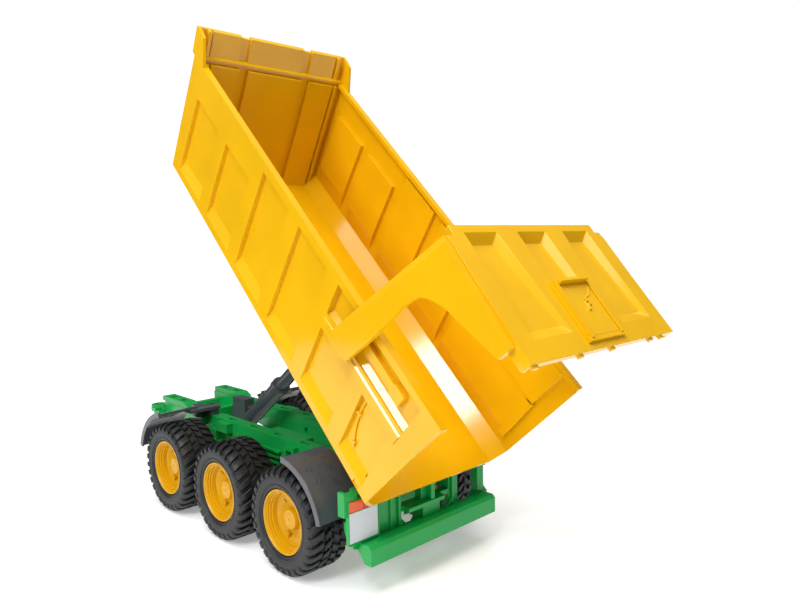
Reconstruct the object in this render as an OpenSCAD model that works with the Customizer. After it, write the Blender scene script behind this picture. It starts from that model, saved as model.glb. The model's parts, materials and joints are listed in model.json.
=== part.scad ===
// Toy three-axle tipping trailer: raised tub, open tailgate on long arms, telescopic ram.
// X runs forwards, Y to the left, Z up. The rest pose has the tub tipped and the gate open.

/* [Running gear] */
// Distance between neighbouring axles
axle_pitch = 95.5; // [92:0.5:100]
// Outer radius of a tyre
tyre_r = 42.4; // [40:0.2:43]
// Width of a tyre
tyre_w = 38; // [34:1:40]
// Outer radius of a wheel rim
rim_r = 25.5; // [23:0.5:27]
// Radius of a wheel axle
axle_r = 2; // [1.5:0.1:2.5]
// Width over the tyres
overall_w = 184.6; // [180:0.2:190]

/* [Tub] */
// Width over the side walls
tub_w = 159.2; // [150:0.2:162]
// Height of the side walls
tub_h = 110; // [100:1:115]
// Length of the floor along its edge
tub_l = 356; // [340:1:370]
// Thickness of the sheet walls
wall_t = 2.4; // [2:0.1:3]
// Height of the headboard above the rail
headboard_h = 21; // [15:1:30]
// Angle to which the tub is tipped
tip_angle = 44.1; // [20:0.1:48]

/* [Tailgate] */
// Angle to which the tailgate is opened
gate_angle = 88.8; // [30:0.1:92]
// Half width over the tailgate arms
gate_half_w = 87.5; // [86:0.1:89]
// Length of the tailgate panel
gate_l = 91; // [85:1:93]

/* [Chassis] */
// Height of the top of the chassis beams
beam_top = 81.5; // [78:0.5:83]
// Half width over the chassis beams
beam_y = 36.2; // [34:0.2:38]
// Forward end of the chassis beams
beam_front = 208; // [190:1:215]
// Forward end of the drawbar eye
drawbar_end = 312; // [290:1:320]

/* [Hidden] */
$fn = 64;
gap = 0.3;
e = 0.01;

yellow = [0.96, 0.72, 0.05];
green = [0.10, 0.52, 0.22];
dark_grey = [0.24, 0.24, 0.25];
tyre_grey = [0.18, 0.18, 0.19];
steel = [0.75, 0.76, 0.78];

// Tipping hinge: place on the chassis, and place in the tub's own coordinates.
// In the tub's coordinates X runs along the floor from its rear edge, Z is height above its underside.
hinge_x = -134.2;
hinge_z = 77.5;
hinge_a = 33.6;
hinge_h = -20;
hinge_r = 2;

// Side wall: chamfer at the floor, lean of the rear edge, of the ribs and of the front.
half_w = tub_w / 2;
chamfer = 12.8;
floor_t = 2.5;
rear_lean = -0.073;
rib_lean = 0.189;
front_lean = 0.262;
rib_pitch = 60.4;
rib_first = 346.7;
rib_base_h = 24.8;
bay_l = 44;
bay_depth = 3.4;
bays = 6;
// The arm channel in the side wall, and the box below it.
channel_a = [11, 113];
channel_h = [80, 104.5];
box_h = [68.5, 76];
rail_w = 6;
rail_t = 3.5;

// Tailgate pivot in the tub's coordinates, and the closed panel relative to that pivot.
gate_a = 83.2;
gate_h = 107.1;
gate_pin_r = 2;
panel_top = [-95.5, -14.1];
panel_tilt = 4.2;
panel_t = 5;
arm_t = 4;

// Telescopic ram: base pivot on the chassis, top pivot in the tub's coordinates.
ram_x = 106;
ram_z = 61.2;
ram_a = 165.6;
ram_h = -10;
ram_pin_r = 2;
ram_barrel_r = 8;

// Axle and wheel places.
axle_z = tyre_r;
axle_x = [axle_pitch, 0, -axle_pitch];
wheel_out = overall_w / 2;
wheel_y = wheel_out - tyre_w / 2;
rim_face = 90 - wheel_y;
mudguard_r = 51.5;
mudguard_y = [52, 92.3];

// Middle of the model along X, which becomes the origin.
ram_top_x = hinge_x + (ram_a - hinge_a) * cos(tip_angle) - (ram_h - hinge_h) * sin(tip_angle);
ram_top_z = hinge_z + (ram_a - hinge_a) * sin(tip_angle) + (ram_h - hinge_h) * cos(tip_angle);
ram_len = norm([ram_top_x - ram_x, ram_top_z - ram_z]);
ram_angle = atan2(ram_top_z - ram_z, ram_top_x - ram_x);
// The tailgate's lower edge, which is the rearmost place: turns a point in the X-Z plane like rotate([0, t, 0]).
function turned(p, t) = [p[0] * cos(t) + p[1] * sin(t), -p[0] * sin(t) + p[1] * cos(t)];
function gate_point(p) = turned(panel_top + turned(p, 90 - panel_tilt), gate_angle) + [gate_a, gate_h];
function gate_x(p) = hinge_x + turned(gate_point(p) - [hinge_a, hinge_h], -tip_angle)[0];
rear_end = min(gate_x([gate_l, 0]), gate_x([gate_l + 2, 1.5]));
centre_x = (drawbar_end + rear_end) / 2;

// ---------- placing ----------
module place() translate([-centre_x, 0, 0]) children();

// Children drawn in the tub's coordinates.
module in_tub() place() translate([hinge_x, 0, hinge_z]) rotate([0, -tip_angle, 0])
    translate([-hinge_a, 0, -hinge_h]) children();

// Children drawn on the closed tailgate, relative to its pivot.
module in_gate() in_tub() translate([gate_a, 0, gate_h]) rotate([0, gate_angle, 0]) children();

// Children drawn on the panel: X is down the panel, Z is outwards from its outer face.
module on_panel() in_gate() translate([panel_top[0], 0, panel_top[1]])
    rotate([0, 90 - panel_tilt, 0]) mirror([0, 0, 1]) children();

// Children drawn along the ram from its base pivot, with Z up the ram.
module on_ram() place() translate([ram_x, 0, ram_z]) rotate([0, 90 - ram_angle, 0]) children();

module both_sides() {
    children();
    mirror([0, 1, 0]) children();
}

// A box given by its low and high corners.
module block(low, high) translate(low) cube(high - low);

// A cylinder along Y between two places on that axis.
module y_rod(x, z, r, y0, y1) translate([x, y1, z]) rotate([90, 0, 0]) cylinder(h = y1 - y0, r = r);

// An outline in the X-Z plane, extruded along Y between two places.
module y_plate(points, y0, y1) translate([0, y1, 0]) rotate([90, 0, 0])
    linear_extrude(height = y1 - y0) polygon(points);

// ---------- chassis ----------
module beam() {
    slots = [-92, -52, -12, 28, 68];
    difference() {
        y_plate([[-150, 54], [-40, 50], [60, 50], [130, 62], [beam_front, 62],
                 [beam_front, beam_top], [-150, beam_top]], 24, beam_y);
        for (x = slots) block([x, 28, beam_top - 3], [x + 12, 32.5, beam_top + 1]);
        y_rod(hinge_x, hinge_z, hinge_r + 0.02, 20, beam_y + 1);
    }
}

module chassis_frame() color(green) place() {
    both_sides() beam();
    // cross members between the beams
    for (x = [-122, -62, 152, 196]) block([x, -24, 54], [x + 8, 24, x > 100 ? 74 : 50.5 + 8]);
    block([-122, -40, 30], [-119.5, 40, 54 + e]);
    // raised bed rests with a sloped rear end
    both_sides() difference() {
        y_plate([[150, beam_top - e], [160, 86.2], [beam_front, 86.2], [beam_front, beam_top - e]], 25, 38.6);
        for (x = [166, 190]) block([x, 29, 84], [x + 9, 35, 88]);
    }
    // outriggers on the outer faces of the beams
    both_sides() {
        block([114, beam_y - e, 70.6], [127, 42.4, 78.4]);
        block([65, beam_y - e, 71], [85, 43, 80]);
        block([88, beam_y - e, 60], [108, 41.6, 70]);
        block([60, beam_y - e, 57], [112, 40, 60]);
        difference() {
            block([-43.5, beam_y - e, 65], [-29, 41.4, 78]);
            block([-40.6, beam_y - 1, 60], [-31.8, 45, 74.6]);
        }
        for (z = [53, 58, 63, 68]) block([-18, beam_y - e, z], [11, 40.4 - (z - 53) / 20, z + 1.8]);
        block([-46, beam_y - e, 52], [6, 41, 53 + e]);
    }
    // inner side boxes beside the ram
    both_sides() difference() {
        block([-34, 12.5, 58], [22, 24 + e, 80]);
        y_rod(12, 73, 2.6, 12, 19);
    }
}

module front_headstock() color(green) place() {
    block([beam_front, -44, 56], [beam_front + 12, 44, 70]);
    both_sides() block([beam_front + 2, 40, 70 - e], [beam_front + 12, 47, 73]);
    block([beam_front, -18, 44], [beam_front + 12, 18, 56 + e]);
}

module drawbar() color(green) place() {
    start = beam_front + 12;
    eye_x = drawbar_end - 9;
    difference() {
        union() {
            y_bar = 7;
            for (s = [-1, 1]) linear_bar([start, s * 26], [eye_x - 10, s * 3.5], y_bar, 46, 56);
            block([start, -30, 46], [start + 5, 30, 56]);
            block([start + 40, -18, 47], [start + 46, 18, 55]);
            translate([eye_x, 0, 47]) cylinder(h = 8, r = 9);
        }
        translate([eye_x, 0, 40]) cylinder(h = 24, r = 4.6);
    }
}

// A flat bar between two points seen from above.
module linear_bar(p, q, w, z0, z1) {
    d = (q - p) / norm(q - p);
    n = [-d[1], d[0]] * w / 2;
    translate([0, 0, z0]) linear_extrude(height = z1 - z0) polygon([p + n, p - n, q - n, q + n]);
}

// A window in the rear frame, its lower corners cut off, from y0 to y1.
module rear_window(y0, y1, z0, z1, cut) translate([-170, 0, 0]) rotate([90, 0, 90]) linear_extrude(height = 20)
    polygon([[y0, z0 + cut], [y0 + cut, z0], [y1 - cut, z0], [y1, z0 + cut], [y1, z1], [y0, z1]]);

module rear_frame() color(green) place() difference() {
    union() {
        difference() {
            // plate, deeper at its posts, under the slope of the raised tub
            y_plate([[-162, 35], [-162, 75.5], [-158, 79], [-155, 79], [-155, 35]], -71, 71);
            rear_window(-63, -37.5, 36, 68, 6);
            rear_window(51.5, 63, 36, 68, 3);
            rear_window(-26.5, -13, 36, 50, 3);
            rear_window(8, 26.5, 36, 50, 3);
            both_sides() rear_window(5, 26.5, 54, 70, 0.5);
        }
        // rims round the windows and the ends of the beams
        both_sides() block([-164, 29, 40.5], [-162 + e, 31, 74]);
        both_sides() translate([-164, 0, 0]) rotate([90, 0, 90]) linear_extrude(height = 2 + e)
            polygon([[30, 49], [30, 45], [25.5, 40.5], [22.7, 40.5], [29 - e, 46.8], [29 - e, 49]]);
        block([-163.4, 37.6, 40.5], [-162 + e, 39, 74]);
        both_sides() block([-155 - e, 27, 54], [-150, beam_y, 79]);
        // shelf, block and rib in the middle
        y_plate([[-162 + e, 47], [-168, 50], [-168, 53], [-162 + e, 54]], -16, 24);
        block([-166, -12, 40.5], [-162 + e, 7, 49]);
        block([-167, -5.5, 53 - e], [-162 + e, -1.5, 66]);
        for (s = [-1, 1]) y_plate([[-155 - e, 58], [-128, 58], [-128, hinge_z + 5.5],
            [-140, hinge_z + 5.5], [-155 - e, 79]], s > 0 ? 16.3 : -20.3, s > 0 ? 20.3 : -16.3);
    }
    y_rod(hinge_x, hinge_z, hinge_r + 0.02, -30, 30);
}

module rear_bumper() color(green) place() {
    // bar with a sloped top, hollow towards the axle
    y_plate([[-176, 25.7], [-176, 38], [-173.5, 40.5], [-162, 40.5], [-162, 36.5], [-172, 34.5],
             [-172, 25.7]], -69.7, 69.7);
    both_sides() {
        y_plate([[-172 - e, 25.7], [-169, 25.7], [-162, 34], [-162, 38], [-172 - e, 36]], 66.7, 69.7);
        y_plate([[-162 - e, 36.5], [-155, 42], [-152, 48], [-152, 54], [-155, 54], [-155, 48],
                 [-162 - e, 40.5]], 71.3, 74.5);
        block([-163, 69.7 - e, 36.5], [-162 - e, 74.5, 40.5]);
    }
}

module light_holder() color(green) place() {
    block([-165, 52.6, 41.6], [-163.2, 81.6, 74.2]);
    block([-165, 72.5, 74.2 - e], [-163.2, 81.6, 80.5]);
    // thin rim round the plate and the lenses
    for (y = [52.6, 80.8]) block([-166.2, y, 41.6], [-165 + e, y + 0.8, 74.2]);
    block([-166.2, 52.6, 41.6], [-165 + e, 81.6, 42.4]);
    // fixing to the frame, and an ear that folds forward
    block([-163.2 - e, 60, 66], [-162, 70, 71]);
    block([-165, 81.6 - e, 63], [-158, 84.4, 80.5]);
}

module number_plate() color(steel) place() block([-165.8, 53.6, 42.8], [-165, 80.6, 65.2]);

module amber_lens() color([0.9, 0.42, 0.12]) place() block([-166.4, 68, 66], [-165, 80.6, 73.2]);

module red_lens() color([0.8, 0.15, 0.12]) place() block([-166.4, 53.6, 66], [-165, 67.6, 73.2]);

// ---------- mudguards ----------
// An arched sheet about an axle, between two angles from the forward level, with a lip on its outer edge.
module arch(x, r, a0, a1, y0, y1) translate([x, y1, axle_z]) rotate([90, 0, 0]) rotate([0, 0, a0])
    rotate_extrude(angle = a1 - a0) polygon([[r - 2, y1 - y0], [r - 2, 1.6], [r - 4, 1.6], [r - 4, 0],
        [r + 1, 0], [r + 1, 1.6], [r, 1.6], [r, y1 - y0]]);

// A front guard with the arm that carries it over the beam.
module front_guard() {
    arch(axle_pitch + 1, mudguard_r, 14, 82, mudguard_y[0], mudguard_y[1]);
    difference() {
        y_plate([[102, 87.6], [102, 90.6], [105, 92.2], [116, 91.2], [122, 89], [122, 87.6]], 27.5, 60);
        block([108, 30, 90], [115, 35, 95]);
    }
    block([104, 28.5, beam_top], [121, 38, 87.6 + e]);
    y_plate([[116, 79], [127.6, 79], [127.6, 90.5], [122, 90.5], [116, 91.2]], beam_y + 0.3, 46);
}

module front_mudguard_left() color(dark_grey) place() front_guard();

module front_mudguard_right() color(dark_grey) place() mirror([0, 1, 0]) front_guard();

module rear_guard() {
    arch(-axle_pitch + 1, mudguard_r + 1.5, 96, 167, 51.2, mudguard_y[1]);
    // stay from the beam to the guard
    block([-144, beam_y, 60], [-137, 53.6, 67]);
}

module rear_mudguard_left() color(dark_grey) place() rear_guard();

module rear_mudguard_right() color(dark_grey) place() mirror([0, 1, 0]) rear_guard();

// ---------- axles and wheels ----------
module carrier(x) difference() {
    union() {
        both_sides() y_plate([[x - 9, 50], [x + 9, 50], [x + 6, 37], [x - 6, 37]], 26, 35);
        block([x - 5, -26, 46.5], [x + 5, 26, 50]);
    }
    y_rod(x, axle_z, axle_r + 0.06, -40, 40);
}

module axle_carrier_front() color(green) place() carrier_low(axle_x[0]);

module axle_carrier_middle() color(green) place() carrier_low(axle_x[1]);

module axle_carrier_rear() color(green) place() carrier_low(axle_x[2]);

// The carrier's blocks reach up to the beam, which is shallower at the front.
module carrier_low(x) {
    carrier(x);
    top = x > 60 ? 50 + (x - 60) * 12 / 70 - 1.8 : 50 + e;
    if (x > 60) both_sides() block([x - 8, 26, 50 - e], [x + 8, 35, top]);
}

module axle(x) y_rod(x, axle_z, axle_r, -81, 81);

module axle_front() color(steel) place() axle(axle_x[0]);

module axle_middle() color(steel) place() axle(axle_x[1]);

module axle_rear() color(steel) place() axle(axle_x[2]);

// A wheel drawn about its own middle with its outer face to +Z.
module rim() {
    lip = rim_face;
    difference() {
        rotate_extrude() polygon([[axle_r + 0.02, -14], [6, -14], [6, 1.4], [rim_r - 4.5, 1.4],
            [rim_r - 3, -17], [rim_r, -17], [rim_r, lip], [rim_r - 1.6, lip], [rim_r - 2.6, lip - 2],
            [rim_r - 3.6, 7.4], [rim_r - 6, 6], [10, 4.6], [8.2, 6], [7.4, 9.4], [6.4, 9.9], [0, 9.9],
            [0, 8.2], [axle_r + 0.02, 8.2]]);
        for (t = [-49, -169, -289]) rotate([0, 0, t]) translate([13.6, -1.2, -1]) cube([4, 1.35, 14]);
    }
}

module tyre() rotate_extrude() polygon([[rim_r + 0.05, -14], [rim_r + 2, -16.6], [33, -19], [37.5, -18.4],
    [tyre_r - 2, -16], [tyre_r, -12.5], [tyre_r, 12.5], [tyre_r - 2, 16], [37.5, 18.4], [33, 19],
    [rim_r + 2, 17.2], [rim_r + 0.05, 15]]);

// Children put at a wheel's place: which axle, and which side.
module at_wheel(n, side) place() translate([axle_x[n], side * wheel_y, axle_z])
    rotate([-90 * side, 0, 0]) children();

module rim_front_left() color(yellow) at_wheel(0, 1) rim();

module rim_front_right() color(yellow) at_wheel(0, -1) rim();

module rim_middle_left() color(yellow) at_wheel(1, 1) rim();

module rim_middle_right() color(yellow) at_wheel(1, -1) rim();

module rim_rear_left() color(yellow) at_wheel(2, 1) rim();

module rim_rear_right() color(yellow) at_wheel(2, -1) rim();

module tyre_front_left() color(tyre_grey) at_wheel(0, 1) tyre();

module tyre_front_right() color(tyre_grey) at_wheel(0, -1) tyre();

module tyre_middle_left() color(tyre_grey) at_wheel(1, 1) tyre();

module tyre_middle_right() color(tyre_grey) at_wheel(1, -1) tyre();

module tyre_rear_left() color(tyre_grey) at_wheel(2, 1) tyre();

module tyre_rear_right() color(tyre_grey) at_wheel(2, -1) tyre();

// ---------- ram ----------
module ram_base_bracket() color(dark_grey) place() difference() {
    union() {
        both_sides() y_plate([[97, 54], [119, 54], [112, 66], [106, 68.5], [100, 66]], 8.6, 11.8);
        block([97, -24, 51], [119, 24, 54 + e]);
    }
    y_rod(ram_x, ram_z, ram_pin_r + 0.02, -20, 20);
}

module ram_base_pin() color(steel) place() y_rod(ram_x, ram_z, ram_pin_r, -11.8, 11.8);

module hydraulic_block() color(dark_grey) place() {
    block([122, -23.8, 62], [146, -12, 86]);
    block([112, -23.8, 64], [122 + e, -16, 78]);
    block([146 - e, -23.8, 62], [152, -14, 76]);
}

module ram_barrel() color(dark_grey) on_ram() difference() {
    union() {
        translate([0, 0, 10]) cylinder(h = 82, r = ram_barrel_r);
        rotate([90, 0, 0]) translate([0, 0, -8]) cylinder(h = 16, r = 6);
        block([-5.5, -7, 0], [5.5, 7, 11]);
    }
    rotate([90, 0, 0]) cylinder(h = 40, r = ram_pin_r + 0.06, center = true);
    translate([0, 0, 14]) cylinder(h = 90, r = 6.33);
}

module ram_collar() color(dark_grey) on_ram() difference() {
    translate([0, 0, 85]) cylinder(h = 7, r = 9.2);
    translate([0, 0, 80]) cylinder(h = 20, r = ram_barrel_r + 0.03);
}

module ram_stage_one() color(dark_grey) on_ram() difference() {
    union() {
        translate([0, 0, 60]) cylinder(h = 75, r = 6.25);
        translate([0, 0, 135 - e]) cylinder(h = 6, r = 7);
    }
    translate([0, 0, 50]) cylinder(h = 100, r = 4.58);
}

module ram_stage_two() color(dark_grey) on_ram() difference() {
    union() {
        translate([0, 0, 102]) cylinder(h = ram_len - 104, r = 4.5);
        translate([0, 0, ram_len]) rotate([90, 0, 0]) cylinder(h = 11, r = 5.5, center = true);
    }
    translate([0, 0, ram_len]) rotate([90, 0, 0]) cylinder(h = 30, r = ram_pin_r + 0.1, center = true);
}

module tip_hinge_pin() color(steel) place() y_rod(hinge_x, hinge_z, hinge_r, -beam_y, beam_y);

// ---------- tub ----------
// Place of the front wall's outer face at height h, and the panels across it.
function front_a(h) = 355.5 + 29.5 / 110 * h;
front_panels = [[-66, -37.9], [-28.9, 28.9], [37.9, 66]];

// Place of the step that ends the recessed stretch by the arm channel, at height h.
function step_a(h) = rib_first - rib_pitch * 4 + rib_lean * (h - rib_base_h);

// Side outline of the tub, moved inwards by d; the open rear end runs past by r.
function side_line(d, r) = [[-r, d], [front_a(d) - d * 1.1, d], [front_a(tub_h + r) - d * 1.1, tub_h + r],
    [-8 - r, tub_h + r]];

module side_prism(points) y_plate(points, -100, 100);

// A shape seen from the rear, extruded along the tub.
module end_prism(points, a0, a1) translate([a1, 0, 0]) rotate([90, 0, -90])
    linear_extrude(height = a1 - a0) polygon(points);

function cross_line(w, d, c, top) = [[-w + c, d], [w - c, d], [w, d + c], [w, top], [-w, top],
    [-w, d + c]];

// Outline of one recess between ribs: n-th bay, from height h0 to h1.
function bay_line(n, h0, h1, m) = let (f = rib_first - rib_pitch * n, r = max(f - bay_l, 10))
    [[r + rib_lean * (h0 - rib_base_h) - m, h0], [f + rib_lean * (h0 - rib_base_h) + m, h0],
     [f + rib_lean * (h1 - rib_base_h) + m, h1], [r + rib_lean * (h1 - rib_base_h) - m, h1]];

// One recess in the left wall with a sloped ledge along its foot.
module bay_cut(n) {
    top = n < 2 ? 85 : (n < 4 ? 103 : 67.5);
    intersection() {
        y_plate(bay_line(n, 15, top, 0), 60, 90);
        end_prism([[-(half_w - bay_depth), 28], [-(half_w - bay_depth), 120], [-(half_w + 3), 120],
                   [-(half_w + 3), 11]], -20, 400);
    }
}

module bay_panel(n) {
    top = n < 2 ? 86 : (n < 4 ? 104.5 : 69);
    intersection() {
        y_plate(bay_line(n, 14, top, 1.6), 60, 90);
        end_prism([[-(half_w - 2), 14], [-(half_w - 2), 120], [-(half_w - bay_depth - wall_t), 120],
                   [-(half_w - bay_depth - wall_t), 30]], -20, 400);
    }
}

module tub_side() {
    inner = half_w - bay_depth - wall_t;
    difference() {
        union() {
            for (n = [0 : 3]) bay_panel(n);
            // one raised stretch inside behind the two rear recesses, and a deeper one behind the channel
            intersection() {
                y_plate([[14, 14], [step_a(14) + 8, 14], [step_a(66) + 2, 66], [14 - 3.5, 66]], 60, 90);
                end_prism([[-(half_w - 2), 12], [-(half_w - 2), 120], [-inner, 120], [-inner, 28]], -20, 400);
            }
            y_plate([[14 - 3.7, 68], [step_a(68) + 3, 68], [step_a(106.5) + 3, 106.5], [14 - 6.5, 106.5]],
                half_w - 7.2, half_w - 2);
        }
        for (n = [0 : bays - 1]) bay_cut(n);
        channel_cut();
    }
    // top rail, narrow where the arm lies against it
    difference() {
        y_plate([[-8, tub_h - rail_t], [384, tub_h - rail_t], [385, tub_h], [-8.2, tub_h]],
                half_w - rail_w, half_w - wall_t + e);
        block([46, half_w - 1.6, tub_h - 6], [110.5, 90, tub_h + 1]);
    }
    // side box with its sloped top
    intersection() {
        y_plate([[channel_a[0], 60], [step_a(60), 60], [step_a(90), 90], [channel_a[0], 90]], 60, 90);
        end_prism([[-(half_w - 3), box_h[0]], [-(half_w + 1), box_h[0]], [-(half_w + 1), box_h[1]],
                   [-(half_w - 4.8), box_h[1] + 8], [-(half_w - 6), box_h[1] + 8], [-(half_w - 6), box_h[0] + 3]],
                  0, 130);
    }
}

module channel_cut() y_plate([[channel_a[0], channel_h[0]], [step_a(channel_h[0]), channel_h[0]],
    [step_a(channel_h[1]), channel_h[1]], [channel_a[0], channel_h[1]]], half_w - 4.8, 90);

module tub() color(yellow) in_tub() difference() {
    union() {
        difference() {
            intersection() {
                side_prism(side_line(0, 0));
                end_prism(cross_line(half_w, 0, chamfer, 200), -40, 420);
            }
            intersection() {
                side_prism(side_line(floor_t, 30));
                end_prism(cross_line(half_w - wall_t, floor_t, chamfer - 1, 200), -60, 420);
            }
            both_sides() for (n = [0 : bays - 1]) bay_cut(n);
            both_sides() channel_cut();
        }
        both_sides() tub_side();
        // raised panels on the inside of the front wall
        for (y = front_panels) y_plate([[front_a(floor_t) - 2.7, floor_t - e], [front_a(floor_t) - 6.4, floor_t - e],
            [front_a(107) - 6.4, 107], [front_a(107) - 2.7, 107]], y[0], y[1]);
        // bosses for the tailgate pivots
        both_sides() y_rod(gate_a, gate_h, 5.4, half_w - rail_w, half_w + 0.9);
        // posts at the ends of the front wall
        both_sides() y_plate([[front_a(floor_t) - 2.7, floor_t - e], [front_a(floor_t) - 7.4, floor_t - e],
            [front_a(107) - 7.4, 107], [front_a(107) - 2.7, 107]], 68, 71);
    }
    y_rod(gate_a, gate_h, gate_pin_r + 0.05, -90, 90);
    // small step at the lower rear corner
    both_sides() block([10.5, half_w - 1, 13], [17.5, 90, 17.5]);
}

module tub_rail() block([38, 26, -15.7], [262, 34, 0]);

module tub_rail_left() color(yellow) in_tub() tub_rail();

module tub_rail_right() color(yellow) in_tub() mirror([0, 1, 0]) tub_rail();

module tub_cross_members() color(yellow) in_tub() {
    block([328, -60, -10.8], [353, 60, 0]);
    for (a = [60, 215, 250]) block([a, -26, -8], [a + 5, 26, 0]);
}

// Board above the front wall, standing on a ledge, with a cheek at each end.
module headboard() color(yellow) in_tub() {
    top = tub_h + headboard_h;
    y_plate([[380, tub_h], [389.6, tub_h], [390, tub_h + 1.7], [380.5, tub_h + 1.7]], -half_w, half_w);
    difference() {
        y_plate([[387.2, tub_h + 1.7 - e], [390, tub_h + 1.7 - e], [396.5, top], [393.7, top]], -half_w, half_w);
        for (s = [-1, 1]) block([380, s * 33.4 - 4.5, top - 1.6], [400, s * 33.4 + 4.5, top + 1]);
    }
    for (y = front_panels) y_plate([[384.6, tub_h + 1.7 - e], [387.2 + e, tub_h + 1.7 - e],
        [393.7 + e, top], [391.6, top]], y[0], y[1]);
    both_sides() y_plate([[382.6, tub_h + 1.7 - e], [387.2 + e, tub_h + 1.7 - e], [393.7 + e, top],
        [389.6, top]], 68, 71);
    both_sides() y_plate([[366.5, tub_h], [381, top - 2], [391, top], [396.5, top], [389.6, tub_h]],
        half_w - 2.6, half_w);
}

module tub_hinge_lugs() color(yellow) in_tub() both_sides() difference() {
    y_plate([[hinge_a - 16, 0], [hinge_a - 5, hinge_h - 3.5], [hinge_a - 2, hinge_h - 5],
             [hinge_a + 2, hinge_h - 5], [hinge_a + 5, hinge_h - 3.5], [hinge_a + 14, 0]], 10, 16);
    y_rod(hinge_a, hinge_h, hinge_r + 0.06, 5, 20);
}

module ram_top_bracket() color(yellow) in_tub() both_sides() difference() {
    y_plate([[ram_a - 14, 0], [ram_a - 5, ram_h - 6], [ram_a + 5, ram_h - 6], [ram_a + 14, 0]], 7.5, 11);
    y_rod(ram_a, ram_h, ram_pin_r + 0.1, 0, 20);
}

// Small lifting ram in the channel, with its block and hose.
module gate_ram() {
    block([37.5, half_w - 4.8, 90.6], [72, half_w - 0.8, 97]);
    block([25.7, half_w - 4.8, 88.5], [37.5 + e, half_w - 0.3, 98.4]);
    block([37.5, half_w - 4.8, 88.2], [54, half_w - 3, 89.8]);
    block([72 - e, half_w - 4.8, 92], [80, half_w - 2.4, 95.6]);
}

module gate_ram_left() color(yellow) in_tub() gate_ram();

module gate_ram_right() color(yellow) in_tub() mirror([0, 1, 0]) gate_ram();

module gate_hose() {
    y = half_w - bay_depth;
    translate([-8, y, 66.5]) rotate([-90, 0, 0]) rotate_extrude(angle = 41)
        translate([56, 0.9]) circle(r = 0.9, $fn = 24);
    for (t = [14, 37]) translate([-8, y, 66.5]) rotate([0, t, 0]) block([53.6, 0, -0.8], [58.4, 2.2, 0.8]);
}

module gate_hose_left() color(yellow) in_tub() gate_hose();

module gate_hose_right() color(yellow) in_tub() mirror([0, 1, 0]) gate_hose();

// ---------- tailgate ----------
arm_line = [[28, 14.5], [24, 14.9], [-94.2, -13.6], [-87.5, -92.1], [-76, -90.8], [-66.2, -43.8],
    [-60.6, -32.4], [-55.1, -26.1], [-50.1, -23.9], [-43, -21.7], [-0.9, -16.2], [27.7, -10.2],
    [31, -6], [32.6, 5], [31.4, 10.6]];

module arm() difference() {
    y_plate(arm_line, gate_half_w - arm_t, gate_half_w);
    // wide chamfer along the top edge
    translate([24, 0, 14.9]) rotate([0, -13.56, 0]) end_prism([[-gate_half_w - 1, -6.75],
        [-gate_half_w - 1, 2.25], [3 - gate_half_w, 2.25]], -123, 12);
    y_rod(0, 0, gate_pin_r + 0.02, 70, gate_half_w - 1.2);
}

module gate_arm_left() color(yellow) in_gate() arm();

module gate_arm_right() color(yellow) in_gate() mirror([0, 1, 0]) arm();

module gate_pivot_pins() color(steel) in_gate() both_sides() y_rod(0, 0, gate_pin_r, 74.5, gate_half_w - 1.25);

module recess_sides() end_prism([[-15.5, 0.01], [15.5, 0.01], [10.5, -5.4], [-10.5, -5.4]], -6, 80);

// The panel between the arms: X down the panel, Z out of its outer face.
module tailgate() color(yellow) on_panel() {
    w = gate_half_w - arm_t;
    difference() {
        union() {
            block([0, -w, -panel_t], [81, w, 0]);
            block([81 - e, -w, -panel_t], [gate_l, w, 0]);
            block([-7.5, -77.5, -panel_t], [e, 77.5, 0]);
            // thicker behind the recesses
            block([-1, -69, -panel_t - 2.4], [79, 69, -panel_t + e]);
        }
        // recesses with sloped sides, deepest under the top edge, the outer two wider lower down
        for (n = [-1 : 1]) translate([0, 52 * n, 0]) intersection() {
            y_plate([[-1.6, 0.01], [4.6, -5.2], [70, -2.8], [76.7, 0.01]], -30, 30);
            union() {
                recess_sides();
                rotate([0, 0, -5.5 * n]) recess_sides();
            }
        }
        // opening for the grain hatch
        block([52, -13, -panel_t - 4], [78, 13, 1]);
    }
    both_sides() block([76, w - 3, -panel_t - 3.4], [gate_l, w, -panel_t + e]);
    for (y = [78, 33, -3, -52, -67]) block([gate_l - e, y - 2.5, -4], [gate_l + 2, y + 2.5, -1.5]);
}

module hatch_frame() color(yellow) on_panel() {
    both_sides() {
        block([41, 17.2, 0], [84, 18.4, 2.6]);
        block([41, 15.9, 2.6 - e], [84, 18.4, 3.4]);
        block([41, 18.4 - e, 0], [84, 21, 1.2]);
    }
    block([83, -21, 0], [86, 21, 2.6]);
}

module hatch_slide() color(yellow) on_panel() {
    block([44, -16.9, 0.3], [82.7, 16.9, 2.3]);
    block([42, -15.4, 0.3], [44 + e, 15.4, 6.5]);
    translate([61, -1.2, 2.3 - e]) rotate([0, 0, 22]) block([-4.6, -1.3, 0], [4.6, 1.3, 1]);
}

// ---------- assembly ----------
chassis_frame();
front_headstock();
drawbar();
rear_frame();
rear_bumper();
light_holder();
number_plate();
amber_lens();
red_lens();
front_mudguard_left();
front_mudguard_right();
rear_mudguard_left();
rear_mudguard_right();
axle_carrier_front();
axle_carrier_middle();
axle_carrier_rear();
hydraulic_block();
ram_base_bracket();
ram_base_pin();
tip_hinge_pin();
axle_front();
axle_middle();
axle_rear();
rim_front_left();
rim_front_right();
rim_middle_left();
rim_middle_right();
rim_rear_left();
rim_rear_right();
tyre_front_left();
tyre_front_right();
tyre_middle_left();
tyre_middle_right();
tyre_rear_left();
tyre_rear_right();
ram_barrel();
ram_collar();
ram_stage_one();
ram_stage_two();
tub();
tub_rail_left();
tub_rail_right();
tub_cross_members();
headboard();
tub_hinge_lugs();
ram_top_bracket();
gate_ram_left();
gate_ram_right();
gate_hose_left();
gate_hose_right();
tailgate();
gate_arm_left();
gate_arm_right();
gate_pivot_pins();
hatch_frame();
hatch_slide();
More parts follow.
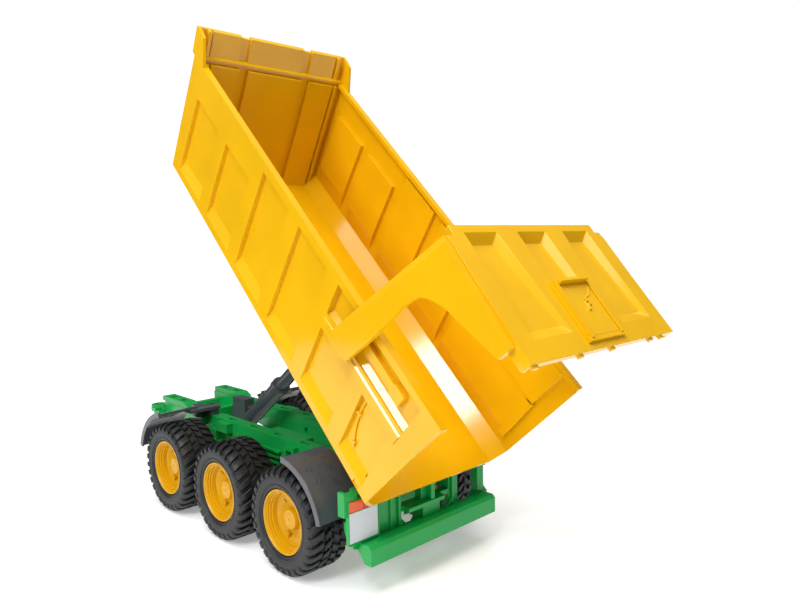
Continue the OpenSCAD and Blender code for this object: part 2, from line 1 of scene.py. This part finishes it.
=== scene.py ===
"""Looks of the toy tipping trailer: rounded mouldings, lugged tyres, gloss plastics, white studio."""

import json
import math

import bmesh
import bpy
from mathutils import Matrix, Vector


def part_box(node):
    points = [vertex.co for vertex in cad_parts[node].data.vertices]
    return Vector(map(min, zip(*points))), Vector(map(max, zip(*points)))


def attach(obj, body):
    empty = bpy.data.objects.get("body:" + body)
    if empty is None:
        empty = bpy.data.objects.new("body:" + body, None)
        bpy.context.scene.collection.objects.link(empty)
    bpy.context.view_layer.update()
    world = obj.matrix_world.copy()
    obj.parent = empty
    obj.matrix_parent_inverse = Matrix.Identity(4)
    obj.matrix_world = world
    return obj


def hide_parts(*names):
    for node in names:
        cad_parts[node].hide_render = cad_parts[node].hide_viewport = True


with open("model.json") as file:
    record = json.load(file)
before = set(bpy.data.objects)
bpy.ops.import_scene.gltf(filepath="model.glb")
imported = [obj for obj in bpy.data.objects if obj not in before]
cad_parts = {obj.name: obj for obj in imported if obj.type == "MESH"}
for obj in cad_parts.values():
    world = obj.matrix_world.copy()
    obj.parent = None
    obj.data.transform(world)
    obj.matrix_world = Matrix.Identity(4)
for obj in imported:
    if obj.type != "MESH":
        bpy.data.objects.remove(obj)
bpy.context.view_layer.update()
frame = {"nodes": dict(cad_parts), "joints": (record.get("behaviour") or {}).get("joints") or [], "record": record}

MM = 0.001
WELD = 2e-6  # vertices closer than this, in metres, are one
TIP = math.radians(44.1)  # the tub's angle at rest
NODES = frame["nodes"]
JOINTS = {j["name"]: j for j in frame["joints"]}
SLOT_OF = {s["node"]: s["material_slot"] for s in frame["record"]["subparts"]}
BODY_OF = {n: b for b, ns in frame["record"]["behaviour"]["bodies"].items() for n in ns}


# ---------- materials ----------
def nodes_of(material):
    """The material's node tree and its main shader."""
    material.use_nodes = True
    tree = material.node_tree
    return tree, tree.nodes["Principled BSDF"]


def noise(tree, scale, detail):
    coords = tree.nodes.new("ShaderNodeTexCoord")
    tex = tree.nodes.new("ShaderNodeTexNoise")
    tex.inputs["Scale"].default_value = scale
    tex.inputs["Detail"].default_value = detail
    tex.inputs["Roughness"].default_value = 0.5
    tree.links.new(coords.outputs["Object"], tex.inputs["Vector"])
    return tex


def ramp(tree, source, low, high):
    """Two colours, mixed over the middle of the source's range."""
    node = tree.nodes.new("ShaderNodeValToRGB")
    for stop, place, colour in zip(node.color_ramp.elements, (0.35, 0.65), (low, high)):
        stop.position = place
        stop.color = colour
    tree.links.new(source, node.inputs["Fac"])
    return node


def spread(tree, source, low, high):
    """The source's range, 0 to 1, moved on to another one."""
    node = tree.nodes.new("ShaderNodeMapRange")
    node.inputs["To Min"].default_value = low
    node.inputs["To Max"].default_value = high
    tree.links.new(source, node.inputs["Value"])
    return node


def bump(tree, bsdf, source, strength, distance):
    node = tree.nodes.new("ShaderNodeBump")
    node.inputs["Strength"].default_value = strength
    node.inputs["Distance"].default_value = distance
    tree.links.new(source, node.inputs["Height"])
    tree.links.new(node.outputs["Normal"], bsdf.inputs["Normal"])


def tint(colour, gain):
    return tuple(min(1.0, c * gain) for c in colour) + (1.0,)


def plastic(name, colour, rough, vary=0.04, shine=0.5, grain=0.02):
    """Moulded plastic: slow drifts in colour and gloss, and a faint moulded grain."""
    material = bpy.data.materials.new(name)
    tree, bsdf = nodes_of(material)
    slow = noise(tree, scale=22.0, detail=2.0)
    fine = noise(tree, scale=900.0, detail=2.0)
    colours = ramp(tree, slow.outputs["Fac"], tint(colour, 1 - vary), tint(colour, 1 + vary))
    tree.links.new(colours.outputs["Color"], bsdf.inputs["Base Color"])
    gloss = spread(tree, slow.outputs["Fac"], rough * 0.85, rough * 1.2)
    tree.links.new(gloss.outputs["Result"], bsdf.inputs["Roughness"])
    bump(tree, bsdf, fine.outputs["Fac"], grain, 0.0004)
    bsdf.inputs["IOR"].default_value = 1.5
    bsdf.inputs["Specular IOR Level"].default_value = shine
    return material


def rubber(name, colour):
    """Near-black rubber: slow drifts in colour and gloss, and a fine rough grain."""
    material = bpy.data.materials.new(name)
    tree, bsdf = nodes_of(material)
    slow = noise(tree, scale=40.0, detail=3.0)
    fine = noise(tree, scale=1400.0, detail=3.0)
    colours = ramp(tree, slow.outputs["Fac"], tint(colour, 0.85), tint(colour, 1.25))
    tree.links.new(colours.outputs["Color"], bsdf.inputs["Base Color"])
    gloss = spread(tree, slow.outputs["Fac"], 0.42, 0.58)
    tree.links.new(gloss.outputs["Result"], bsdf.inputs["Roughness"])
    bump(tree, bsdf, fine.outputs["Fac"], 0.12, 0.0004)
    return material


def wire(name, colour):
    """Bright drawn steel, with fine changes in its gloss."""
    material = bpy.data.materials.new(name)
    tree, bsdf = nodes_of(material)
    drawn = noise(tree, scale=600.0, detail=2.0)
    bsdf.inputs["Base Color"].default_value = colour + (1.0,)
    bsdf.inputs["Metallic"].default_value = 1.0
    gloss = spread(tree, drawn.outputs["Fac"], 0.2, 0.4)
    tree.links.new(gloss.outputs["Result"], bsdf.inputs["Roughness"])
    return material


MATERIALS = {
    "body_yellow": plastic("body_yellow", (0.80, 0.44, 0.003), 0.10, shine=0.42),
    "rim_yellow": plastic("rim_yellow", (0.66, 0.345, 0.003), 0.22, shine=0.3),
    "chassis_green": plastic("chassis_green", (0.005, 0.34, 0.065), 0.24, shine=0.35),
    "dark_grey_plastic": plastic("dark_grey_plastic", (0.070, 0.078, 0.092), 0.13, shine=0.55),
    "tyre_rubber": rubber("tyre_rubber", (0.007, 0.008, 0.010)),
    "steel": wire("steel", (0.6, 0.6, 0.62)),
    "plate_foil": plastic("plate_foil", (0.58, 0.64, 0.69), 0.3, vary=0.02),
    "amber": plastic("amber", (0.72, 0.10, 0.012), 0.2),
    "red": plastic("red", (0.6, 0.035, 0.02), 0.25),
}


def paint(obj, slot):
    obj.data.materials.clear()
    obj.data.materials.append(MATERIALS[slot])


# ---------- mesh helpers ----------
def add_mesh(name, mesh_or_bm, body, slot, replaces=()):
    """A new piece that rides on a body and takes its finish from a material slot."""
    if isinstance(mesh_or_bm, bmesh.types.BMesh):
        mesh = bpy.data.meshes.new(name)
        mesh_or_bm.to_mesh(mesh)
        mesh_or_bm.free()
    else:
        mesh = mesh_or_bm
    obj = bpy.data.objects.new(name, mesh)
    bpy.context.scene.collection.objects.link(obj)
    paint(obj, slot)
    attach(obj, body)
    if replaces:
        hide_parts(*replaces)
    return obj


def smooth(mesh, degrees):
    mesh.polygons.foreach_set("use_smooth", [True] * len(mesh.polygons))
    mesh.set_sharp_from_angle(angle=math.radians(degrees))


def rounded(node, radius, sharp):
    """The CAD node's own shape, standing for it, with its edges over a sharp angle rounded."""
    bm = bmesh.new()
    bm.from_mesh(NODES[node].data)
    bmesh.ops.remove_doubles(bm, verts=bm.verts, dist=WELD)
    bmesh.ops.dissolve_degenerate(bm, dist=WELD, edges=bm.edges)
    mesh = bpy.data.meshes.new(node + "_moulded")
    bm.to_mesh(mesh)
    bm.free()
    obj = add_mesh(node + "_moulded", mesh, BODY_OF[node], SLOT_OF[node], (node,))
    soft = obj.modifiers.new("round", "BEVEL")
    soft.limit_method = "ANGLE"
    soft.angle_limit = math.radians(sharp)
    soft.width = radius * MM
    soft.segments = 2
    soft.use_clamp_overlap = True
    soft.miter_outer = "MITER_ARC"
    apply_modifiers(obj)
    smooth(obj.data, degrees=52)
    # flat faces stay flat: their normals count for more than those of the rounded edges
    even = obj.modifiers.new("even", "WEIGHTED_NORMAL")
    even.keep_sharp = True
    even.weight = 100
    apply_modifiers(obj)


def apply_modifiers(obj):
    """Puts what the modifiers make in place of the object's mesh."""
    bpy.context.view_layer.update()
    graph = bpy.context.evaluated_depsgraph_get()
    mesh = bpy.data.meshes.new_from_object(obj.evaluated_get(graph))
    obj.modifiers.clear()
    obj.data = mesh


def add_block(bm, corners):
    """A block from the four corners of its first face, in order round it, then those of its second."""
    verts = [bm.verts.new(c) for c in corners]
    for f in ((0, 1, 2, 3), (7, 6, 5, 4), (0, 4, 5, 1), (1, 5, 6, 2), (2, 6, 7, 3), (3, 7, 4, 0)):
        bm.faces.new([verts[i] for i in f])


# ---------- pieces ----------
for name, obj in NODES.items():
    paint(obj, SLOT_OF[name])
    smooth(obj.data, degrees=30)

# radius of the moulded edges, in mm
ROUND = {
    "tub": 0.35, "headboard": 0.3, "tailgate": 0.45, "gate_arm_left": 0.8, "gate_arm_right": 0.8,
    "hatch_frame": 0.25, "hatch_slide": 0.35, "tub_rail_left": 0.6, "tub_rail_right": 0.6,
    "tub_cross_members": 0.6, "tub_hinge_lugs": 0.5, "ram_top_bracket": 0.5, "gate_ram_left": 0.6,
    "gate_ram_right": 0.6, "chassis_frame": 0.5, "front_headstock": 0.5, "drawbar": 0.8,
    "rear_frame": 0.5, "rear_bumper": 0.5, "light_holder": 0.4, "front_mudguard_left": 0.5,
    "front_mudguard_right": 0.5, "rear_mudguard_left": 0.5, "rear_mudguard_right": 0.5,
    "axle_carrier_front": 0.5, "axle_carrier_middle": 0.5, "axle_carrier_rear": 0.5,
    "hydraulic_block": 0.5, "ram_base_bracket": 0.5, "ram_collar": 0.5, "number_plate": 0.25,
    "amber_lens": 0.5, "red_lens": 0.5,
}
# pieces mostly of flat faces, where even a shallow edge is a real one
CRISP = {
    "tub", "tailgate", "headboard", "hatch_frame", "hatch_slide", "gate_arm_left", "gate_arm_right",
    "rear_frame", "rear_bumper", "light_holder", "tub_rail_left", "tub_rail_right",
    "tub_cross_members",
}
# edges turning by more than this many degrees are rounded
CRISP_EDGE, CURVED_EDGE = 9, 28
for name, radius in ROUND.items():
    rounded(name, radius, CRISP_EDGE if name in CRISP else CURVED_EDGE)


# ---------- wheels ----------
def wheel_frame(node):
    """A wheel piece's centre, the side it is on (1 is left), and its radius in mm."""
    low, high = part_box(node)
    middle = (Vector(low) + Vector(high)) / 2
    side = 1 if middle.y > 0 else -1
    return middle, side, (high[2] - low[2]) / 2 / MM


def lathe(bm, profile, steps, put):
    """A closed outline of (radius, outwards) pairs turned about the wheel's axis."""
    rings = []
    for n in range(steps):
        turn = 2 * math.pi * n / steps
        rings.append([bm.verts.new(put(r, turn, w)) for r, w in profile])
    for n in range(steps):
        a, b = rings[n], rings[(n + 1) % steps]
        for i in range(len(profile)):
            j = (i + 1) % len(profile)
            bm.faces.new((a[i], a[j], b[j], b[i]))


def lug(bm, section, middle, half, slant, put):
    """One tread block: its outline across the tyre, drawn out round it, with softened ends."""
    slope, sink, deep = 0.012, 0.45, 6  # an end's length in radians, its drop and its reach in mm
    top = max(r for r, _ in section)
    slices = []
    for turn, drop in ((-half, sink), (-half + slope, 0), (half - slope, 0), (half, sink)):
        row = []
        for r, w in section:
            lower = drop if r > top - deep else 0
            row.append(bm.verts.new(put(r - lower, middle + turn + slant * abs(w), w)))
        slices.append(row)
    for a, b in zip(slices, slices[1:]):
        for i in range(len(section)):
            j = (i + 1) % len(section)
            bm.faces.new((a[i], a[j], b[j], b[i]))
    bm.faces.new(list(reversed(slices[0])))
    bm.faces.new(slices[-1])


def tyre(node):
    """A turned casing with two rows of lugs on each half of its tread, in place of the CAD tyre."""
    middle, side, outer = wheel_frame(node)
    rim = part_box(node.replace("tyre", "rim"))
    bore = (rim[1][2] - rim[0][2]) / 2 / MM + 0.05

    def put(r, turn, w):
        return middle + Vector((r * math.cos(turn), side * w, r * math.sin(turn))) * MM

    floor_r = outer - 2.3  # the tread's floor, between the lugs
    wall = [(bore, -14), (bore + 2, -16.4), (bore + 4.2, -17.6), (bore + 7, -18.4),
            (outer - 6, -18.2), (outer - 3.4, -17), (floor_r - 0.2, -14.5), (floor_r, -8),
            (floor_r, 8), (floor_r - 0.2, 14.5), (outer - 3.4, 17), (outer - 6, 18.2),
            (bore + 7, 18.4), (bore + 4.4, 17.9), (bore + 3.9, 18.3), (bore + 3.2, 18.2),
            (bore + 2.8, 17.5), (bore + 1, 16.8), (bore, 15)]
    bm = bmesh.new()
    lathe(bm, wall, 96, put)
    lugs = 30
    for s in (-1, 1):
        shoulder = [(floor_r - 0.6, s * 7.6), (outer, s * 8.2), (outer - 0.1, s * 13),
                    (outer - 0.9, s * 16.2), (outer - 2.6, s * 18.2), (outer - 4.4, s * 18.9),
                    (outer - 6.6, s * 18.8), (outer - 7, s * 17.6), (outer - 4, s * 15.5)]
        centre = [(floor_r - 0.6, s * 0.7), (outer, s * 1.1), (outer, s * 6.3),
                  (floor_r - 0.6, s * 6.9)]
        for n in range(lugs):
            at = 2 * math.pi * (n + (0.5 if s > 0 else 0)) / lugs
            lug(bm, shoulder, at, half=0.058, slant=0.011, put=put)
            lug(bm, centre, at + 0.075, half=0.064, slant=0.016, put=put)
    bmesh.ops.recalc_face_normals(bm, faces=bm.faces)
    obj = add_mesh(node + "_lugged", bm, BODY_OF[node], SLOT_OF[node], (node,))
    smooth(obj.data, degrees=32)


def rim(node):
    """A stepped dish with a hub and three window slots through it, in place of the CAD rim."""
    middle, side, outer = wheel_frame(node)
    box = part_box(node)
    bore = (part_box(node.replace("rim_", "axle_").rsplit("_", 1)[0])[1][2] - middle.z) / MM + 0.02
    tyre_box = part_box(node.replace("rim", "tyre"))
    wheel_y = (tyre_box[0][1] + tyre_box[1][1]) / 2
    lip = (box[1][1] - wheel_y if side > 0 else wheel_y - box[0][1]) / MM
    inner = (wheel_y - box[0][1] if side > 0 else box[1][1] - wheel_y) / MM

    def put(r, turn, w):
        centre = Vector((middle.x, wheel_y, middle.z))
        return centre + Vector((r * math.cos(turn), side * w, r * math.sin(turn))) * MM

    back = [(bore, 3 - inner), (6, 3 - inner), (6, 1.4), (outer - 5.4, 1.4), (outer - 3, -inner),
            (outer, -inner)]
    steps = [(outer, lip - 0.5), (outer - 0.4, lip), (outer - 1.1, lip), (outer - 1.5, lip - 0.5),
             (outer - 1.8, lip - 2), (outer - 2.3, lip - 2.3), (outer - 2.4, lip - 4),
             (outer - 3.0, lip - 4.3), (outer - 3.1, lip - 6), (outer - 3.9, lip - 6.3)]
    dish = [(outer - 4.4, 6.9), (outer - 5.6, 6), (outer - 8.5, 5.6), (15.4, 5.3), (15.1, 4.9),
            (10, 4.6)]
    hub = [(8.9, 4.9), (8.3, 5.6), (7.9, 8.9), (7.4, 9.6), (6.9, 9.8), (5.9, 9.8), (5.6, 9.5),
           (4.7, 9.5), (4.4, 9.8), (1.2, 9.9), (0.9, 9.5), (0.4, 9.4), (0.4, 8), (bore, 8)]
    bm = bmesh.new()
    lathe(bm, back + steps + dish + hub, 72, put)
    bmesh.ops.recalc_face_normals(bm, faces=bm.faces)
    # window slots, each with a small moulded step beside it
    cutter = bmesh.new()
    r = 15.6
    span = 1.3 / r
    first, third = 2.95, 2.094  # radians
    for turn in (first, first - third, first + third):
        for target, lo, hi, a0, a1, w0, w1 in (
                (cutter, r - 2.0, r + 2.0, turn - span, turn + span * 0.1, 0, 12),
                (bm, r - 1.2, r + 3.4, turn + span * 0.5, turn + span * 3.2, 5, 6.9)):
            add_block(target, [put(q, t * side, w) for w in (w0, w1) for q, t in
                               ((lo, a0), (hi, a0), (hi, a1), (lo, a1))])
    bmesh.ops.recalc_face_normals(cutter, faces=cutter.faces)
    tool_mesh = bpy.data.meshes.new("slots")
    cutter.to_mesh(tool_mesh)
    cutter.free()
    tool = bpy.data.objects.new("slots", tool_mesh)
    bpy.context.scene.collection.objects.link(tool)
    obj = add_mesh(node + "_pressed", bm, BODY_OF[node], SLOT_OF[node], (node,))
    cut = obj.modifiers.new("slots", "BOOLEAN")
    cut.operation = "DIFFERENCE"
    cut.solver = "EXACT"
    cut.object = tool
    apply_modifiers(obj)
    bpy.data.objects.remove(tool)
    smooth(obj.data, degrees=32)


for name in [n for n in NODES if n.startswith("tyre_")]:
    tyre(name)
for name in [n for n in NODES if n.startswith("rim_")]:
    rim(name)


# ---------- small mouldings ----------
def tube(name, points, radius, body, slot):
    """A thin moulded line through some points."""
    curve = bpy.data.curves.new(name, "CURVE")
    curve.dimensions = "3D"
    curve.bevel_depth = radius
    curve.bevel_resolution = 2
    curve.resolution_u = 8
    spline = curve.splines.new("BEZIER")
    spline.bezier_points.add(len(points) - 1)
    for p, place in zip(spline.bezier_points, points):
        p.co = place
        p.handle_left_type = p.handle_right_type = "AUTO"
    curve.use_fill_caps = True
    obj = bpy.data.objects.new(name, curve)
    bpy.context.scene.collection.objects.link(obj)
    curve.materials.append(MATERIALS[slot])
    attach(obj, body)


def panel_frame():
    """The directions down the tailgate and out of it, from the hatch's joint."""
    up = Vector(JOINTS["grain_hatch_slide"]["axis"]).normalized()
    down = -up
    out = Vector((down.z, 0, -down.x))
    if out.z < 0:
        out = -out
    return down, out


def hatch_lever():
    """The curled hook that is moulded on the hatch, and its two small pins."""
    mesh = NODES["hatch_slide"].data
    world = NODES["hatch_slide"].matrix_world
    down, out = panel_frame()
    spots = [world @ v.co for v in mesh.vertices]
    first = min(p.dot(down) for p in spots)
    plate = max(p.dot(out) for p in spots if p.dot(down) > first + 35 * MM)
    origin = down * first + out * plate

    def at(d, y, n=0.0):
        """A place d down the hatch, y to the left of its middle and n out of it, in mm."""
        return origin + down * (d * MM) + out * (n * MM) + Vector((0, y * MM, 0))

    hook = [at(5.6, -14), at(9, -11.6), at(12.2, -8.6), at(13.6, -4.4), at(15, 0.4)]
    tube("hatch_hook", hook, 0.6 * MM, "hatch", "body_yellow")
    for n, (d, y) in enumerate(((17.6, -0.9), (20.4, -2.2))):
        bm = bmesh.new()
        bmesh.ops.create_cone(bm, cap_ends=True, segments=20, radius1=0.6 * MM, radius2=0.5 * MM,
                              depth=0.6 * MM)
        turn = out.to_track_quat("Z", "Y").to_matrix().to_4x4()
        bm.transform(Matrix.Translation(at(d, y, 1.1)) @ turn)
        add_mesh(f"hatch_hook_pin_{n}", bm, "hatch", "tyre_rubber")


hatch_lever()


# each mark's angle round the axle in degrees, distance in from the guard's edge in mm, and lean
GUARD_MARKS = (
    (105, 12, 1), (106.5, 15, 1), (118, 9, 1), (119.5, 12.5, 1), (108, 27, 1), (110, 29, -1),
    (131, 10, 1), (132, 13, 1), (121, 26, 1), (123, 28.5, 1), (136, 24, -1), (138, 27, -1),
)


def guard_marks():
    """Short raised bars moulded on the outside of each rear mudguard."""
    span, wide = 5.2, 0.9
    outline = ((-span / 2, -wide / 2), (span / 2, -wide / 2),
               (span / 2, wide / 2), (-span / 2, wide / 2))
    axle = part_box("axle_rear")
    mid_x, mid_z = (axle[0][0] + axle[1][0]) / 2, (axle[0][2] + axle[1][2]) / 2
    for side, node in ((1, "rear_mudguard_left"), (-1, "rear_mudguard_right")):
        low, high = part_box(node)
        edge = high[1] if side > 0 else -low[1]
        skin = (high[2] - mid_z) / MM - 1.0  # the sheet lies 1 mm inside the guard's lip
        bm = bmesh.new()
        for turn, inset, lean in GUARD_MARKS:
            corners = []
            for r in (skin - 0.3, skin + 0.35):
                for u, v in outline:
                    t = math.radians(turn + u * 1.05)
                    y = edge / MM - inset + v + lean * u * 0.45
                    corners.append((mid_x + r * MM * math.cos(t), side * y * MM,
                                    mid_z + r * MM * math.sin(t)))
            add_block(bm, corners)
        bmesh.ops.recalc_face_normals(bm, faces=bm.faces)
        add_mesh(node + "_marks", bm, BODY_OF[node], SLOT_OF[node])


guard_marks()


def tub_linings():
    """Thin linings that close a slit and a small gap in each of the tub's side walls."""
    low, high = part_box("tip_hinge_pin")
    pivot = (Vector(low) + Vector(high)) / 2
    start_x, start_z = -38.0, -9.0  # the tub's lower rear edge from the hinge, in mm
    inner_y, outer_y = 73.75, 75.9

    def at(a, y, h):
        """A place a along the tub from its rear edge, and h above its floor's underside."""
        x = start_x + a * math.cos(TIP) - h * math.sin(TIP)
        z = start_z + a * math.sin(TIP) + h * math.cos(TIP)
        return Vector((pivot.x + x * MM, y * MM, pivot.z + z * MM))

    bm = bmesh.new()
    for side in (-1, 1):
        for a0, a1, h0, h1 in ((10.5, 114, 65, 69), (9, 16.5, 21.5, 66)):
            add_block(bm, [at(a, side * y, h) for y in (inner_y, outer_y)
                           for a, h in ((a0, h0), (a1, h0), (a1, h1), (a0, h1))])
    bmesh.ops.recalc_face_normals(bm, faces=bm.faces)
    add_mesh("tub_linings", bm, "tub_body", "body_yellow")


tub_linings()


# ---------- studio ----------
def floor():
    """A pale sheet under the model, a little lit from within so that it stays nearly white."""
    bm = bmesh.new()
    bmesh.ops.create_grid(bm, x_segments=1, y_segments=1, size=0.85)
    mesh = bpy.data.meshes.new("floor")
    bm.to_mesh(mesh)
    bm.free()
    obj = bpy.data.objects.new("floor", mesh)
    bpy.context.scene.collection.objects.link(obj)
    material = bpy.data.materials.new("floor")
    tree, bsdf = nodes_of(material)
    slow = noise(tree, scale=0.6, detail=2.0)
    pale = ramp(tree, slow.outputs["Fac"], (0.93, 0.94, 0.95, 1), (0.95, 0.955, 0.96, 1))
    tree.links.new(pale.outputs["Color"], bsdf.inputs["Base Color"])
    bsdf.inputs["Roughness"].default_value = 0.7
    bsdf.inputs["Emission Color"].default_value = (1, 1, 1, 1)
    bsdf.inputs["Emission Strength"].default_value = 0.3
    obj.data.materials.append(material)


def area_light(name, toward, size, power, along=(1, 0, 0), seen_from=(0, 0, 0.15)):
    """A soft rectangular light seen from a spot in one direction, its long side along another."""
    distance = 1.6
    data = bpy.data.lights.new(name, "AREA")
    data.shape = "RECTANGLE"
    data.size, data.size_y = size
    data.energy = power
    back = Vector(toward).normalized()
    side = (Vector(along) - back * Vector(along).dot(back)).normalized()
    up = back.cross(side)
    spot = Vector(seen_from) + back * distance
    obj = bpy.data.objects.new(name, data)
    obj.matrix_world = Matrix(((side.x, up.x, back.x, spot.x), (side.y, up.y, back.y, spot.y),
                               (side.z, up.z, back.z, spot.z), (0, 0, 0, 1)))
    bpy.context.scene.collection.objects.link(obj)


def studio():
    """A white room: plain white behind, and a soft light overhead that fades to the horizon."""
    world = bpy.data.worlds.new("studio")
    bpy.context.scene.world = world
    world.use_nodes = True
    tree = world.node_tree
    back = tree.nodes["Background"]
    coords = tree.nodes.new("ShaderNodeTexCoord")
    height = tree.nodes.new("ShaderNodeVectorMath")
    height.operation = "DOT_PRODUCT"
    height.inputs[1].default_value = (-0.22, 0.30, 0.93)  # towards the ceiling's brightest part
    tree.links.new(coords.outputs["Generated"], height.inputs[0])
    fade = tree.nodes.new("ShaderNodeMapRange")
    fade.inputs["From Min"].default_value = 0.05
    fade.inputs["From Max"].default_value = 0.9
    fade.inputs["To Min"].default_value = 0.10
    fade.inputs["To Max"].default_value = 0.76
    tree.links.new(height.outputs["Value"], fade.inputs["Value"])
    room = tree.nodes.new("ShaderNodeBackground")
    tree.links.new(fade.outputs["Result"], room.inputs["Strength"])
    back.inputs["Color"].default_value = (1.0, 1.0, 1.0, 1)
    back.inputs["Strength"].default_value = 1.1
    # the camera sees plain white, and everything else the faded ceiling
    rays = tree.nodes.new("ShaderNodeLightPath")
    mix = tree.nodes.new("ShaderNodeMixShader")
    tree.links.new(rays.outputs["Is Camera Ray"], mix.inputs["Fac"])
    tree.links.new(room.outputs["Background"], mix.inputs[1])
    tree.links.new(back.outputs["Background"], mix.inputs[2])
    tree.links.new(mix.outputs["Shader"], tree.nodes["World Output"].inputs["Surface"])
    # the windows that show as white glints on the tub's inner chamfer and on the side box
    up_chamfer, along_box = (0.28, -0.056, 0.197), (0.274, -0.094, 0.209)
    area_light("window", (-0.247, 0.609, 0.753), size=(0.27, 0.2), power=5,
               along=up_chamfer, seen_from=(-0.128, -0.062, 0.123))
    area_light("side_window", (-0.01, 0.845, 0.535), size=(0.40, 0.2), power=7,
               along=along_box, seen_from=(-0.17, 0.075, 0.146))
    area_light("high_window", (0.0, 0.48, 0.87), size=(0.13, 0.1), power=1.0,
               along=up_chamfer, seen_from=(0.037, -0.06, 0.283))
    area_light("overhead", (-0.22, 0.12, 0.97), size=(1.5, 1.5), power=23)
    bpy.context.scene.view_settings.view_transform = "Standard"
    bpy.context.scene.view_settings.look = "None"


def camera():
    """The photograph's view: from behind and the left, a little above half the model's height."""
    place = Vector((-0.5362, 0.3853, 0.2607))
    azimuth, elevation, roll = math.radians(134.559), math.radians(5.272), math.radians(-0.815)
    back = Vector((math.cos(elevation) * math.cos(azimuth), math.cos(elevation) * math.sin(azimuth),
                   math.sin(elevation)))
    right = Vector((0, 0, 1)).cross(back).normalized()
    up = back.cross(right)
    right, up = (right * math.cos(roll) + up * math.sin(roll),
                 up * math.cos(roll) - right * math.sin(roll))
    data = bpy.data.cameras.new("camera")
    data.sensor_width, data.lens = 36, 31.81
    data.shift_x, data.shift_y = -0.0293, -0.0079
    data.clip_start = 0.01
    obj = bpy.data.objects.new("camera", data)
    obj.matrix_world = Matrix((
        (right.x, up.x, back.x, place.x),
        (right.y, up.y, back.y, place.y),
        (right.z, up.z, back.z, place.z),
        (0, 0, 0, 1)))
    bpy.context.scene.collection.objects.link(obj)
    bpy.context.scene.camera = obj


floor()
studio()
camera()
